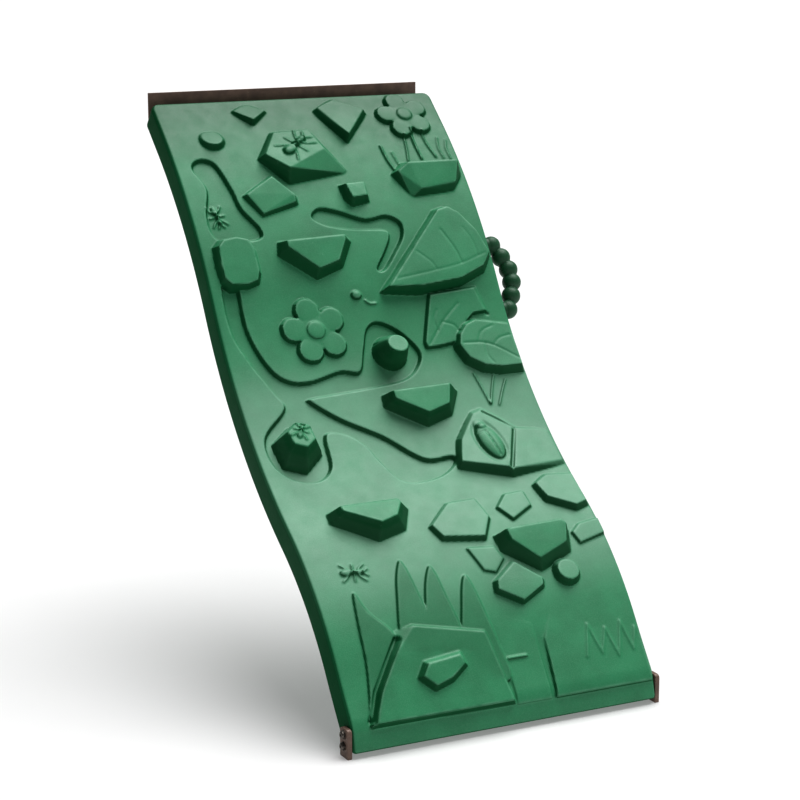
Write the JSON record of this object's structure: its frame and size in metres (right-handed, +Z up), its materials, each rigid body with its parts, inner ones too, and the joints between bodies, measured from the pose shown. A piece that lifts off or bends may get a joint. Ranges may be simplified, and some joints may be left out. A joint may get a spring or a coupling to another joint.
{
  "type": "rock climbing wall",
  "caption": "Curved moulded climbing panel with rock holds, leaves and plants in relief, a ball-row hand grip, a steel deck angle and steel foot brackets.",
  "frame": {"origin": "centre of the deck angle's rear face, where the wall bolts to the deck, 1362 mm above the ground", "axes": "+Z up, +X to the right of a climber who faces the wall, the climbing face looks towards -Y and the deck is on the +Y side"},
  "size_m": [0.9098, 1.2477, 1.397],
  "materials": {
    "green_plastic": "rotomoulded polyethylene, satin, fine pebble texture",
    "brown_powder_coat": "textured brown powder coat",
    "stainless_steel": "brushed stainless steel",
    "brass_insert": "turned brass"
  },
  "bodies": {
    "root": {"wall_panel": "green_plastic", "deck_angle": "brown_powder_coat", "foot_bracket_left": "brown_powder_coat", "foot_bracket_right": "brown_powder_coat", "hand_grip": "green_plastic", "deck_angle_1_insert": "brass_insert", "deck_angle_1_washer": "stainless_steel", "deck_angle_1_bolt": "stainless_steel", "deck_angle_2_insert": "brass_insert", "deck_angle_2_washer": "stainless_steel", "deck_angle_2_bolt": "stainless_steel", "deck_angle_3_insert": "brass_insert", "deck_angle_3_washer": "stainless_steel", "deck_angle_3_bolt": "stainless_steel", "deck_angle_4_insert": "brass_insert", "deck_angle_4_washer": "stainless_steel", "deck_angle_4_bolt": "stainless_steel", "foot_left_lower_insert": "brass_insert", "foot_left_lower_washer": "stainless_steel", "foot_left_lower_bolt": "stainless_steel", "foot_left_upper_insert": "brass_insert", "foot_left_upper_washer": "stainless_steel", "foot_left_upper_bolt": "stainless_steel", "foot_right_lower_insert": "brass_insert", "foot_right_lower_washer": "stainless_steel", "foot_right_lower_bolt": "stainless_steel", "foot_right_upper_insert": "brass_insert", "foot_right_upper_washer": "stainless_steel", "foot_right_upper_bolt": "stainless_steel", "grip_upper_insert": "brass_insert", "grip_upper_washer": "stainless_steel", "grip_upper_bolt": "stainless_steel", "grip_lower_insert": "brass_insert", "grip_lower_washer": "stainless_steel", "grip_lower_bolt": "stainless_steel"}
  },
  "joints": []
}
